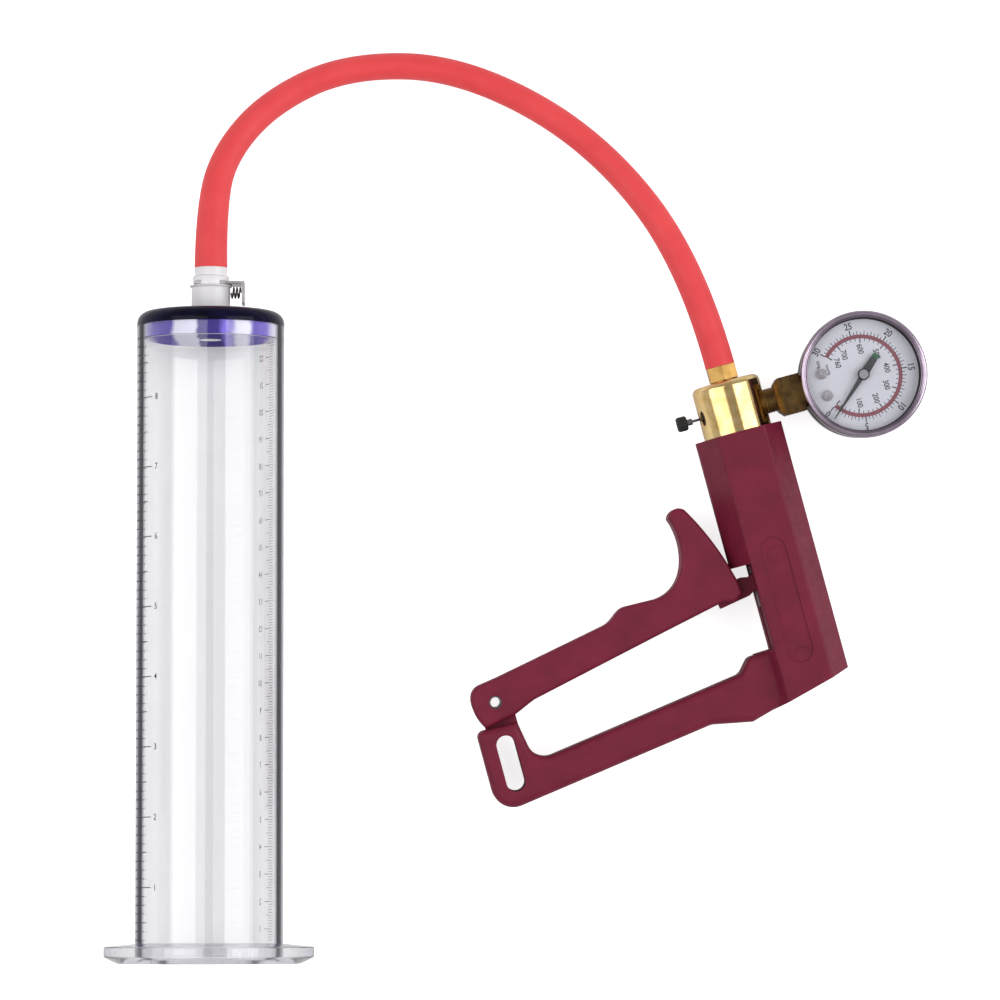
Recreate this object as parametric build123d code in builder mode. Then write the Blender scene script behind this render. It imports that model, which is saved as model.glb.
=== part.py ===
from build123d import *
import os
from math import acos, atan, cos, degrees, pi, radians, sin, tan

# Hand vacuum pump with a graduated clear cylinder, joined by a rubber hose.
# Millimetres, +Z up. The set lies on a table at z = 0. +Y runs from the
# cylinder's open mouth towards its cap, and the pump lies to the +X side.

# ---- driving dimensions ----------------------------------------------------

# Lay of the set: the mouth's centre, and the top of the pump's barrel
CYL_X = -112.4
MOUTH_Y = -131.8
PUMP_X = 81.8
PUMP_Y = 62.4

# Clear cylinder
TUBE_R = 27.0
TUBE_WALL = 3.2
BORE_R = TUBE_R - TUBE_WALL
SET_LENGTH = 238.0  # flange face to cap top
CAP_T = 5.3
CAP_ROUND = 4.4
FLANGE_R = 38.35
FLANGE_RIM = 6.2
FLANGE_CROWN = 7.4
BEVEL_R = 4.9
BEVEL_H = 2.4
PLUG_T = 5.0
PLUG_SEAT_R = BORE_R + 0.6
TUBE_LENGTH = SET_LENGTH - CAP_T

# Quick coupling, heights measured from the cap top
COUPLING_R = 7.1
LIP_R = 7.8
RING_R = 6.7
SOCKET_R = 4.1
WAY_R = 1.8
TAIL_R = 4.0
TAIL_LENGTH = CAP_T + PLUG_T
LIP_LOW = 9.4
PLATE_LOW = 10.0
PLATE_T = 1.0
PLATE_GAP = 0.15
MOUTH_H = 13.1
COLLAR_H = 16.4
LATCH_TRAVEL = 1.3
TAB_REACH = 12.4

GASKET_R = 6.2
GASKET_T = 0.8
SOCKET_FLOOR = 3.0
PLATE_HALF = 5.6
TAB_LOW = 3.0
LATCH_COIL_R = 1.9
LATCH_WIRE_R = 0.3
LATCH_SPRING_H = 7.2
LATCH_TURNS = 3

# Male insert
INSERT_WAY_R = 1.6
NOSE_LOW = 3.6
NOSE_R = 4.0
RING_GROOVE_H = 6.2
RING_GROOVE_HALF = 0.7
RING_GROOVE_R = 2.85
SEAL_WIRE_R = 0.6
LATCH_GROOVE_R = 2.8
COLLAR_R = 6.0

# Hose
HOSE_R = 5.2
HOSE_FLARE = [(6.05, 0), (6.0, 5.5), (5.25, 11.8)]  # over the coupling's barb
HOSE_SWELL = [(5.5, 0), (5.45, 11.0), (5.25, 15.0)]  # over the head's barb
HOSE_BORE_R = 3.1
HOSE_WALL_R = 4.2  # inside the wall
BARB_LENGTH = 11.0
BARB_R = 3.05
BARB_PEAK_R = 3.5
BARBS = 3

# Hand pump, lying on the back flat of its barrel
LEAN = 15.2  # degrees from +X to the pump's own x axis
AXIS_H = 15.5  # height of the barrel axis
FLAT_HALF = 8.95
SIDE_HALF = 16.2
SIDE_FLAT = 3.5
BARREL_BOTTOM = -112.0
COUNTERBORE_R = 11.5
LOWER_BORE_R = 9.6
LINER_TOP = -8.8
LINER_END = -44.0
BORE_END = -92.0
ARM_HALF = 11.2
TANG_HALF = 4.5
LEVER_HALF = 9.4
TONGUE_HALF = 4.3
PIVOT = (-112.7, -72.4)
PIVOT_PIN_R = 2.35
REACH = 106.0  # pivot to the centre of the tongue's rounded end
TONGUE_REST = 9.6  # degrees above the pump's own x axis
TONGUE_R = 3.2

TANG_R = 6.0
FORK_END_P = -103.5
NOTCH_P = -9.2
NOTCH_LOW = -80.3
NOTCH_HIGH = -47.9
TANG_FOOT = -84.0  # where the pivot tang grows out of the block
EDGE_ROUND = 1.2
ARM_ROUND = 2.5
LEVER_ROUND = 1.6
SLOT_CENTRE = (-113.1, -95.5)
SLOT_LENGTH = 21.0
SLOT_WIDTH = 7.0
BADGE_Q = -64.0
BADGE_LENGTH = 47.4
BADGE_WIDTH = 9.5
BADGE_DEPTH = 0.4
FORK_REACH = 15.0  # the fork's gap runs past the pivot by this much each way
PIVOT_PIN_WALL = 0.5

# Piston
LINER_BORE_R = 9.55
PISTON_TOP = -11.0
PISTON_T = 8.0
ROD_R = 4.0
YOKE_TOP = -48.6
YOKE_END = -64.0
YOKE_R = 9.4
PISTON_MID = PISTON_TOP - 4.2
PISTON_GROOVE_R = 7.4
SCREW_R = 2.0
SCREW_HEAD_R = 3.6
SCREW_HEAD_T = 2.0
SCREW_END = -26.0
PISTON_GROOVE_HALF = 1.2
PISTON_SEAL_WIRE_R = 1.0
SCREW_SLOT_HALF = 0.4
SCREW_SLOT_DEPTH = 1.0
RETURN_COIL_R = 7.6
RETURN_WIRE_R = 0.55
RETURN_TURNS = 6
GUIDE_T = 3.0

# Brass head
HEAD_R = 12.7
HEAD_H = 19.5
HEAD_ROUND = 2.3
PORT_H = 8.4  # height of the gauge port and of the release valve
HEX_AF = 10.5
HEX_LOW = 20.0
HEX_TOP = 25.4
SPIGOT_H = 8.0
FITTING_R = 3.6
FITTING_LOW = 12.0
BARB_GASKET_R = 5.2
SEAT_R = 7.0
SEAT_TOP = -5.6
SEAT_ROOM_R = 4.0  # room above the seat for the valve's button
SEAT_ROOM_T = 1.5
SEAT_WAYS = 4
SEAT_WAY_R = 0.7
SEAT_WAY_CIRCLE = 2.6
VALVE_R = 4.2
VALVE_STEM_R = 0.75
VALVE_BUTTON_R = 1.3

# Cross port, measured from the barrel axis towards the gauge
STEM_R = 4.45
CHAMBER_R = 2.5
CHAMBER_END = 6.0
VALVE_FACE = -6.5
RECESS_FLOOR = -7.5
RECESS_R = 2.75
DISC_LOW = VALVE_FACE + 0.85
COLLAR_END = -15.3
KNOB_HIGH = -17.2
KNOB_LOW = -21.2
KNOB_R = 2.8
KNOB_SIDES = 12
PIN_R = 0.5
PIN_WAY_R = 0.9
PIN_COLLAR_R = 1.2
DISC_R = 2.1
DISC_T = 1.0
RELEASE_COIL_R = 1.8
RELEASE_WIRE_R = 0.25
RELEASE_TURNS = 6

# Gauge
GAUGE_P = 49.5  # barrel axis to the dial centre
CASE_R = 22.6
CASE_BACK = -13.5
CASE_FRONT = 13.5
CASE_WALL = 1.0
CASE_ROUND = 0.9
BEZEL_R = 23.35
BEZEL_LOW = 7.2
BEZEL_EDGE = 0.6
LENS_LOW = 11.3
LENS_T = 1.5
DIAL_R = 20.5
DIAL_TOP = 8.0
STEM_LOW = -32.9  # wrench block, on the dial's own x axis
STEM_HIGH = -22.9
STEM_HALF = 7.0
STEM_EDGE = 2.0
STEM_WAY_R = 1.2
NECK_HALF = 6.0
NECK_T = 4.0
INNER_LOW = -20.2
INNER_HIGH = -11.0
INNER_FLOOR = -9.0
LUG_TOP = 7.35
SCREW_X = -14.7
SCREW_Y = 4.1
DIAL_SCREW_R = 1.1
DIAL_HEAD_R = 2.0
DIAL_HEAD_T = 0.9
DIAL_SLOT = (5.0, 0.5)
DIAL_SLOT_TURN = 35.0  # degrees
TUBE_COIL_R = 17.6
TUBE_COIL_Z = -5.5
TUBE_COIL_SECTION = (1.6, 5.0)
TUBE_COIL_ROUND = 0.6
TUBE_START = 197.0  # degrees, where the pressure tube leaves the block
TUBE_ARC = 285.0
SHAFT_R = 0.6
FRAME_LOW = -6.5
FRAME_HIGH = 4.0
FRAME_T = 1.0
FRAME_OUTLINE = [(INNER_HIGH, -7), (4, -15.6, 2.5), (13.6, -9.6, 2), (7, 5, 4), (INNER_HIGH, 7)]
PILLARS = [(-8.5, -5.5), (-8.5, 5.5), (12, -9.3)]
PILLAR_R = 1.0
MODULE = 0.4
PINION_TEETH = 12
SECTOR_TEETH = 60
PRESSURE_ANGLE = radians(20)
BACKLASH = 0.06
SECTOR_HUB_R = 1.6
SECTOR_BEARING = -60.0  # degrees from the dial's own x axis to the sector's pivot
SECTOR_DISTANCE = MODULE * (PINION_TEETH + SECTOR_TEETH) / 2
SECTOR_PIVOT = (
    SECTOR_DISTANCE * cos(radians(SECTOR_BEARING)),
    SECTOR_DISTANCE * sin(radians(SECTOR_BEARING)),
)
SECTOR_COUNT = 13
GEAR_LOW = -2.0
GEAR_T = 1.0
POINTER_LOW = 9.4
POINTER_T = 0.4
POINTER_OUTLINE = [
    (-9, -1.2),
    (-0.5, -1.6),
    (2.5, -0.9),
    (19.6, -0.15),
    (19.6, 0.15),
    (2.5, 0.9),
    (-0.5, 1.6),
    (-9, 1.2),
]
HUB_R = 2.2
HUB_ROUND = 0.4
ZERO_ANGLE = 221.8  # degrees from the dial's own x axis to the pointer at rest

# Hose corners. The first two lie on the coupling's axis, the last two on the
# pump head's, and the middle of the hose rests on the table.
HOSE_ROUTE_MIDDLE = [
    (-108.4, 163.8, 18.5),
    (-91.6, 184.4, 13.0),
    (-62.2, 198.9, 8.5),
    (-19.7, 198.2, 5.8),
    (29.0, 171.9, 5.8),
]
HOSE_FIRST_RUN = 20.0
HOSE_LAST_RUN = 40.0

# Outlines in the pump's frame, as (x, y) or (x, y, corner radius)
BARREL_CUT = [(18, -93.6), (-24, -104.3), (-24, -115), (18, -115)]
ARM_OUTLINE = [
    (-8, -80.3),
    (-18.5, -80.9, 3),
    (-23, -86.0, 4),
    (-104.2, -97.4, 7),
    (-106.9, -81.4, 0.8),
    (-122.4, -81.4, 2.5),
    (-122.4, -112.7, 8),
    (-38.3, -101.1, 6),
    (-23.3, -104.1, 2),
    (-6.9, -99.6),
]
TONGUE_OUTLINE = [
    (90, -3.7),
    (101.5, -3.7, 1),
    (104, -2.7, 1),
    (REACH, -2.7),
    (REACH, 2.7),
    (104, 2.7, 1),
    (101.5, 3.7, 1),
    (90, 3.7),
]

# ---- frames ----------------------------------------------------------------

# The cylinder lies on its flange's rim and on the edge of its cap.
CYL_TILT = atan((FLANGE_R - TUBE_R) / (SET_LENGTH - CAP_ROUND - FLANGE_RIM))
MOUTH_H_ABOVE_TABLE = FLANGE_R * cos(CYL_TILT) + FLANGE_RIM * sin(CYL_TILT)

# In CYL and PUMP the local x is across the axis, the local y along it.
CYL = Plane(
    origin=(CYL_X, MOUTH_Y, MOUTH_H_ABOVE_TABLE),
    x_dir=(1, 0, 0),
    z_dir=(0, sin(CYL_TILT), cos(CYL_TILT)),
)
COUPLING = Plane(origin=CYL.from_local_coords((0, SET_LENGTH, 0)), x_dir=CYL.x_dir, z_dir=CYL.z_dir)
PUMP = Plane(
    origin=(PUMP_X, PUMP_Y, AXIS_H),
    x_dir=(cos(radians(LEAN)), sin(radians(LEAN)), 0),
    z_dir=(0, 0, 1),
)
GAUGE = Plane(origin=PUMP.from_local_coords((GAUGE_P, PORT_H, 0)), x_dir=PUMP.x_dir, z_dir=PUMP.z_dir)
# Local y straight up, for turning about the dial's axis.
GAUGE_TURN = Plane(origin=GAUGE.origin, x_dir=GAUGE.x_dir, z_dir=-GAUGE.y_dir)
# Local y along the pump's own x axis, for the gauge stem and the release pin.
PORT = Plane(origin=PUMP.from_local_coords((0, PORT_H, 0)), x_dir=-PUMP.y_dir, z_dir=PUMP.z_dir)
PORT_AXIS = Axis(PORT.origin, PORT.y_dir)
POINTER = Plane(
    origin=GAUGE.origin,
    x_dir=(cos(radians(LEAN + ZERO_ANGLE)), sin(radians(LEAN + ZERO_ANGLE)), 0),
    z_dir=(0, 0, 1),
)
SECTOR = Plane(
    origin=GAUGE.from_local_coords((*SECTOR_PIVOT, 0)),
    x_dir=(cos(radians(LEAN + SECTOR_BEARING + 180)), sin(radians(LEAN + SECTOR_BEARING + 180)), 0),
    z_dir=(0, 0, 1),
)
# Where the pressure tube starts: local x outwards from the dial's centre, y up.
TUBE_TURN = Plane(
    origin=GAUGE.origin,
    x_dir=(cos(radians(LEAN + TUBE_START)), sin(radians(LEAN + TUBE_START)), 0),
    z_dir=(sin(radians(LEAN + TUBE_START)), -cos(radians(LEAN + TUBE_START)), 0),
)
PIVOT_TURN = Plane(
    origin=PUMP.from_local_coords((*PIVOT, 0)), x_dir=PUMP.x_dir, z_dir=-PUMP.y_dir
)
CYL_AXIS = Axis(CYL.origin, CYL.y_dir)
BARREL_AXIS = Axis(PUMP.origin, PUMP.y_dir)
LATCH_WINDOW = Plane(
    origin=COUPLING.from_local_coords((LATCH_TRAVEL, 0, 0)), x_dir=CYL.x_dir, z_dir=CYL.z_dir
)
LATCH_AXIS = Plane(
    origin=COUPLING.from_local_coords((0, LATCH_SPRING_H, 0)), x_dir=-CYL.y_dir, z_dir=CYL.z_dir
)
# The tongue's own frame: local x from the pivot to the tongue's rounded end.
TONGUE_Q = PIVOT[1] + REACH * sin(radians(TONGUE_REST))
TONGUE_TIP_P = PIVOT[0] + REACH + TONGUE_R + 0.3
TONGUE = Plane(
    origin=PIVOT_TURN.origin,
    x_dir=(cos(radians(LEAN + TONGUE_REST)), sin(radians(LEAN + TONGUE_REST)), 0),
    z_dir=(0, 0, 1),
)
TONGUE_END = TONGUE.from_local_coords((REACH, 0, 0))
TONGUE_TURN = Plane(origin=TONGUE_END, x_dir=TONGUE.x_dir, z_dir=-TONGUE.y_dir)


def along(plane, height):
    """The plane square to another plane's y axis, at a height on it."""
    origin = plane.from_local_coords((0, height, 0))
    return Plane(origin=origin, x_dir=plane.x_dir, z_dir=plane.y_dir)


def spin(plane, outline, mode=Mode.ADD):
    """Turns an outline of (radius, height) points about a plane's y axis."""
    with BuildSketch(plane, mode=Mode.PRIVATE) as profile:
        with BuildLine():
            Polyline(*outline, close=True)
        make_face()
    revolve(profile.sketch, axis=Axis(plane.origin, plane.y_dir), mode=mode)


def disc(plane, radius, low, high, mode=Mode.ADD):
    """A round bar about a plane's y axis."""
    spin(plane, [(0, low), (radius, low), (radius, high), (0, high)], mode)


def ring(plane, inner, outer, low, high, mode=Mode.ADD):
    """A sleeve about a plane's y axis."""
    spin(plane, [(inner, low), (outer, low), (outer, high), (inner, high)], mode)


def slab(plane, corners, low, high, mode=Mode.ADD):
    """Extrudes (x, y) or (x, y, radius) corners between two heights above a plane."""
    with BuildSketch(plane.offset(low), mode=Mode.PRIVATE) as profile:
        with BuildLine():
            Polyline(*[corner[:2] for corner in corners], close=True)
        make_face()
        for x, y, radius in [corner for corner in corners if len(corner) == 3]:
            fillet(profile.vertices().sort_by_distance((x, y))[0], radius)
    extrude(profile.sketch, amount=high - low, mode=mode)


def block(plane, x_span, y_span, z_span, mode=Mode.ADD):
    """A box between spans of a plane's own x, y and z."""
    low_x, high_x = x_span
    low_y, high_y = y_span
    corners = [(low_x, low_y), (high_x, low_y), (high_x, high_y), (low_x, high_y)]
    slab(plane, corners, *z_span, mode)


def torus(plane, radius, wire, height, mode=Mode.ADD):
    """An O-ring about a plane's y axis."""
    with BuildSketch(plane, mode=Mode.PRIVATE) as profile:
        with Locations((radius, height)):
            Circle(wire)
    revolve(profile.sketch, axis=Axis(plane.origin, plane.y_dir), mode=mode)


def coil(plane, radius, wire, low, high, turns):
    """A compression spring about a plane's y axis."""
    span = high - low - 2 * wire
    start = plane.from_local_coords((0, low + wire, 0))
    path = Helix(pitch=span / turns, height=span, radius=radius, center=start, direction=plane.y_dir)
    with BuildSketch(Plane(origin=path @ 0, z_dir=path % 0), mode=Mode.PRIVATE) as profile:
        Circle(wire)
    sweep(profile.sketch, path=path, is_frenet=True)


def barb_outline(base):
    """Outline points of a hose barb from its base up to its last peak."""
    pitch = BARB_LENGTH / (BARBS + 1)
    points = [(BARB_R, base)]
    for step in range(1, BARBS + 1):
        points.append((BARB_R, base + step * pitch))
        points.append((BARB_PEAK_R, base + step * pitch + 0.1))
        points.append((BARB_R, base + (step + 0.9) * pitch))
    points.append((BARB_R - 0.4, base + BARB_LENGTH))
    return points


def dial_turn(x, y):
    """A frame for turning about a line square to the dial, through (x, y) on it."""
    return Plane(
        origin=GAUGE.from_local_coords((x, y, 0)), x_dir=GAUGE.x_dir, z_dir=-GAUGE.y_dir
    )


def tooth(teeth, middle):
    """One involute tooth's outline points, centred on an angle in radians."""
    pitch_r = MODULE * teeth / 2
    base_r = pitch_r * cos(PRESSURE_ANGLE)
    tip_r = pitch_r + 0.8 * MODULE
    half_pitch = (pi * MODULE / 2 - BACKLASH) / pitch_r / 2 + involute(PRESSURE_ANGLE)
    flank = []
    for step in range(4):
        radius = max(base_r, pitch_r - 0.9 * MODULE)
        radius += (tip_r - radius) * step / 3
        half = half_pitch - involute(acos(min(1, base_r / radius)))
        flank.append((radius, half))
    root = (pitch_r - 1.1 * MODULE, flank[0][1])
    flank.insert(0, root)
    rising = [(radius, middle - half) for radius, half in flank]
    falling = [(radius, middle + half) for radius, half in reversed(flank)]
    return [(radius * cos(angle), radius * sin(angle)) for radius, angle in rising + falling]


def involute(angle):
    """The involute function."""
    return tan(angle) - angle


def gear_outline(teeth, count, start):
    """Outline points of a run of teeth, the first centred on an angle in radians."""
    points = []
    for number in range(count):
        points += tooth(teeth, start + number * 2 * pi / teeth)
    return points


def sector_outline():
    """The toothed arc of the sector gear, closed behind its pivot."""
    pitch = 2 * pi / SECTOR_TEETH
    return [(-1.2, 0), *gear_outline(SECTOR_TEETH, SECTOR_COUNT, -1.5 * pitch)]


def save(piece, name):
    """Labels a finished piece and writes it out."""
    piece.part.label = name
    export_step(piece.part, f"parts/{name}.step")


os.makedirs("parts", exist_ok=True)

# ---- clear cylinder ---------------------------------------------------------

with BuildPart() as cylinder_tube:
    ring(CYL, BORE_R, TUBE_R, 0, TUBE_LENGTH)
    disc(CYL, PLUG_SEAT_R, TUBE_LENGTH - PLUG_T, TUBE_LENGTH, Mode.SUBTRACT)
save(cylinder_tube, "cylinder_tube")

# The flange is bonded round the mouth end, bevelled on its lower edge.
with BuildPart() as cylinder_flange:
    spin(
        CYL,
        [
            (TUBE_R, 0),
            (FLANGE_R - BEVEL_R, 0),
            (FLANGE_R, BEVEL_H),
            (FLANGE_R, FLANGE_RIM),
            (TUBE_R, FLANGE_CROWN),
        ],
    )
save(cylinder_flange, "cylinder_flange")

with BuildPart() as cylinder_cap:
    ring(CYL, TAIL_R, TUBE_R, TUBE_LENGTH, SET_LENGTH)
    rims = cylinder_cap.edges().filter_by(GeomType.CIRCLE)
    fillet(rims.filter_by(lambda rim: rim.radius > TAIL_R).sort_by(CYL_AXIS)[-1], CAP_ROUND)
save(cylinder_cap, "cylinder_cap")

# The plug is cemented under the cap, on a step at the end of the bore.
with BuildPart() as cap_plug:
    ring(CYL, TAIL_R, PLUG_SEAT_R - 0.1, TUBE_LENGTH - PLUG_T, TUBE_LENGTH)
save(cap_plug, "cap_plug")

# ---- quick coupling ---------------------------------------------------------

with BuildPart() as coupling_body:
    spin(
        COUPLING,
        [
            (WAY_R, -TAIL_LENGTH),
            (TAIL_R - 0.05, -TAIL_LENGTH),
            (TAIL_R - 0.05, GASKET_T),
            (GASKET_R + 0.1, GASKET_T),
            (GASKET_R + 0.1, 0),
            (COUPLING_R, 0),
            (COUPLING_R, LIP_LOW - 0.5),
            (LIP_R, LIP_LOW),
            (LIP_R, LIP_LOW + 0.4),
            (RING_R, LIP_LOW + 0.5),
            (RING_R, MOUTH_H),
            (SOCKET_R, MOUTH_H),
            (SOCKET_R, SOCKET_FLOOR),
            (WAY_R, SOCKET_FLOOR),
        ],
    )
    # The latch plate's way through the body.
    block(
        COUPLING,
        (-2 * COUPLING_R, 2 * COUPLING_R),
        (PLATE_LOW - PLATE_GAP, PLATE_LOW + PLATE_T + PLATE_GAP),
        (-PLATE_HALF - 0.1, PLATE_HALF + 0.1),
        Mode.SUBTRACT,
    )
save(coupling_body, "coupling_body")

with BuildPart() as coupling_gasket:
    ring(COUPLING, TAIL_R + 0.05, GASKET_R, 0, GASKET_T)
save(coupling_gasket, "coupling_gasket")

# The thumb latch is a plate with a round window, bent down into a tab. At rest
# the window stands off centre, and its edge lies in the insert's groove.
with BuildPart() as coupling_latch:
    block(
        COUPLING,
        (-RING_R + 0.5, TAB_REACH),
        (PLATE_LOW, PLATE_LOW + PLATE_T),
        (-PLATE_HALF, PLATE_HALF),
    )
    block(
        COUPLING,
        (TAB_REACH - PLATE_T, TAB_REACH),
        (TAB_LOW, PLATE_LOW),
        (-PLATE_HALF, PLATE_HALF),
    )
    disc(LATCH_WINDOW, SOCKET_R + 0.2, PLATE_LOW, PLATE_LOW + PLATE_T, Mode.SUBTRACT)
save(coupling_latch, "coupling_latch")

with BuildPart() as latch_spring:
    coil(
        LATCH_AXIS,
        LATCH_COIL_R,
        LATCH_WIRE_R,
        COUPLING_R + 0.1,
        TAB_REACH - PLATE_T - 0.05,
        LATCH_TURNS,
    )
save(latch_spring, "latch_spring")

# The insert plugs into the body, and its barb holds the hose.
with BuildPart() as coupling_insert:
    spin(
        COUPLING,
        [
            (INSERT_WAY_R, NOSE_LOW),
            (NOSE_R - 0.5, NOSE_LOW),
            (NOSE_R, NOSE_LOW + 0.8),
            (NOSE_R, RING_GROOVE_H - RING_GROOVE_HALF),
            (RING_GROOVE_R, RING_GROOVE_H - RING_GROOVE_HALF),
            (RING_GROOVE_R, RING_GROOVE_H + RING_GROOVE_HALF),
            (NOSE_R, RING_GROOVE_H + RING_GROOVE_HALF),
            (NOSE_R, PLATE_LOW - 0.3),
            (LATCH_GROOVE_R, PLATE_LOW - 0.3),
            (LATCH_GROOVE_R, PLATE_LOW + PLATE_T + 0.3),
            (NOSE_R, PLATE_LOW + PLATE_T + 0.3),
            (NOSE_R, MOUTH_H + 0.15),
            (COLLAR_R, MOUTH_H + 0.15),
            (COLLAR_R, COLLAR_H),
            *barb_outline(COLLAR_H),
            (INSERT_WAY_R, COLLAR_H + BARB_LENGTH),
        ],
    )
save(coupling_insert, "coupling_insert")

with BuildPart() as insert_seal_ring:
    torus(COUPLING, RING_GROOVE_R + SEAL_WIRE_R, SEAL_WIRE_R, RING_GROOVE_H)
save(insert_seal_ring, "insert_seal_ring")

# ---- hose -------------------------------------------------------------------

hose_corners = [
    COUPLING.from_local_coords(Vector(0, COLLAR_H, 0)),
    COUPLING.from_local_coords(Vector(0, COLLAR_H + HOSE_FIRST_RUN, 0)),
    *[Vector(*point) for point in HOSE_ROUTE_MIDDLE],
    PUMP.from_local_coords(Vector(0, HEX_TOP + HOSE_LAST_RUN, 0)),
    PUMP.from_local_coords(Vector(0, HEX_TOP, 0)),
]
hose_runs = [b - a for a, b in zip(hose_corners, hose_corners[1:])]
hose_radii = []
for before, after in zip(hose_runs, hose_runs[1:]):
    shorter = min(before.length, after.length)
    hose_radii.append(0.45 * shorter / tan(radians(before.get_angle(after)) / 2))

with BuildPart() as hose:
    with BuildLine() as hose_path:
        FilletPolyline(*hose_corners, radius=hose_radii)
    with BuildSketch(Plane(origin=hose_path.line @ 0, z_dir=hose_path.line % 0)):
        Circle(HOSE_R)
        Circle(HOSE_BORE_R, mode=Mode.SUBTRACT)
    sweep()
    plain_volume = hose.part.volume
    # Stretched over the barb at each end
    for frame, base, outline in (
        (COUPLING, COLLAR_H, HOSE_FLARE),
        (PUMP, HEX_TOP, HOSE_SWELL),
    ):
        heights = [(radius, base + height) for radius, height in outline]
        spin(frame, [(HOSE_WALL_R, base), *heights, (HOSE_WALL_R, heights[-1][1])])
save(hose, "hose")
hose_length = hose_path.wires()[0].length
hose_section = pi * (HOSE_R**2 - HOSE_BORE_R**2)
print("hose radii", [round(radius, 1) for radius in hose_radii])
print("hose length", round(hose_length, 1))
print("hose volume over section x length", round(plain_volume / hose_section / hose_length, 4))

# ---- brass head -------------------------------------------------------------

with BuildPart() as brass_head:
    spin(
        PUMP,
        [
            (0, -SPIGOT_H),
            (COUNTERBORE_R - 0.1, -SPIGOT_H),
            (COUNTERBORE_R - 0.1, 0),
            (HEAD_R, 0),
            (HEAD_R, HEAD_H),
            (0, HEAD_H),
        ],
    )
    head_rims = brass_head.edges().filter_by(GeomType.CIRCLE).sort_by(BARREL_AXIS)
    fillet(head_rims[-1], HEAD_ROUND)
    # Air way down the middle, the hose fitting's thread above, the valve below.
    disc(PUMP, WAY_R, -SPIGOT_H, HEAD_H, Mode.SUBTRACT)
    disc(PUMP, FITTING_R, FITTING_LOW, HEAD_H, Mode.SUBTRACT)
    disc(PUMP, SEAT_R, -SPIGOT_H, SEAT_TOP, Mode.SUBTRACT)
    disc(PUMP, SEAT_ROOM_R, SEAT_TOP, SEAT_TOP + SEAT_ROOM_T, Mode.SUBTRACT)
    # Cross port: gauge thread, valve chamber, pin hole and knob recess.
    disc(PORT, STEM_R, CHAMBER_END, HEAD_R + 1, Mode.SUBTRACT)
    disc(PORT, CHAMBER_R, VALVE_FACE, CHAMBER_END, Mode.SUBTRACT)
    disc(PORT, PIN_WAY_R, RECESS_FLOOR, VALVE_FACE, Mode.SUBTRACT)
    disc(PORT, RECESS_R, -HEAD_R - 1, RECESS_FLOOR, Mode.SUBTRACT)
save(brass_head, "brass_head")

with BuildPart() as head_gasket:
    ring(PUMP, LINER_BORE_R, COUNTERBORE_R - 0.1, LINER_TOP, -SPIGOT_H)
save(head_gasket, "head_gasket")

# Small ways through the seat, covered by the rubber valve below it.
with BuildPart() as valve_seat:
    ring(PUMP, VALVE_STEM_R + 0.05, SEAT_R - 0.02, -SPIGOT_H, SEAT_TOP - 0.05)
    with PolarLocations(SEAT_WAY_CIRCLE, SEAT_WAYS) as ways:
        for spot in ways.local_locations:
            centre = PUMP.from_local_coords((spot.position.X, 0, spot.position.Y))
            way = Plane(origin=centre, x_dir=PUMP.x_dir, z_dir=PUMP.z_dir)
            disc(way, SEAT_WAY_R, -SPIGOT_H, SEAT_TOP, Mode.SUBTRACT)
save(valve_seat, "valve_seat")

with BuildPart() as inlet_valve:
    spin(
        PUMP,
        [
            (0, -SPIGOT_H - 1.0),
            (1.2, -SPIGOT_H - 1.0),
            (VALVE_R, -SPIGOT_H - 0.4),
            (VALVE_R, -SPIGOT_H),
            (VALVE_STEM_R, -SPIGOT_H),
            (VALVE_STEM_R, SEAT_TOP - 0.05),
            (VALVE_BUTTON_R, SEAT_TOP),
            (0.6, SEAT_TOP + 0.9),
            (0, SEAT_TOP + 0.9),
        ],
    )
save(inlet_valve, "inlet_valve")

with BuildPart() as barb_gasket:
    ring(PUMP, FITTING_R, BARB_GASKET_R, HEAD_H, HEX_LOW)
save(barb_gasket, "barb_gasket")

# Hex fitting with the hose's barb above and a threaded shank below.
with BuildPart() as hose_barb:
    with BuildSketch(along(PUMP, HEX_LOW)):
        RegularPolygon(HEX_AF / 2, 6, major_radius=False, rotation=30)
    extrude(amount=HEX_TOP - HEX_LOW)
    disc(PUMP, FITTING_R - 0.05, FITTING_LOW + 0.2, HEX_LOW)
    spin(PUMP, [(0, HEX_TOP), *barb_outline(HEX_TOP), (0, HEX_TOP + BARB_LENGTH)])
    disc(PUMP, INSERT_WAY_R, 0, HEX_TOP + 2 * BARB_LENGTH, Mode.SUBTRACT)
save(hose_barb, "hose_barb")

# ---- vacuum release ---------------------------------------------------------

with BuildPart() as release_pin:
    disc(PORT, PIN_R, KNOB_LOW, DISC_LOW)
    disc(PORT, DISC_R, DISC_LOW, DISC_LOW + DISC_T)
    disc(PORT, PIN_COLLAR_R, KNOB_HIGH, COLLAR_END)
save(release_pin, "release_pin")

with BuildPart() as release_seal:
    ring(PORT, PIN_R, DISC_R, VALVE_FACE + 0.05, DISC_LOW)
save(release_seal, "release_seal")

with BuildPart() as release_knob:
    with BuildSketch(along(PORT, KNOB_LOW)):
        RegularPolygon(KNOB_R, KNOB_SIDES)
        Circle(PIN_R, mode=Mode.SUBTRACT)
    extrude(amount=KNOB_HIGH - KNOB_LOW)
save(release_knob, "release_knob")

with BuildPart() as release_spring:
    coil(PORT, RELEASE_COIL_R, RELEASE_WIRE_R, DISC_LOW + DISC_T + 0.05, CHAMBER_END, RELEASE_TURNS)
save(release_spring, "release_spring")

# ---- casing -----------------------------------------------------------------

# Lower arm, with the block that carries the pivot tang and the lanyard slot.
with BuildPart() as arm_blank:
    slab(PUMP, ARM_OUTLINE, -ARM_HALF, ARM_HALF)
    faces = arm_blank.faces().filter_by(Axis.Z)
    fillet(faces.edges(), ARM_ROUND)

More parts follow.
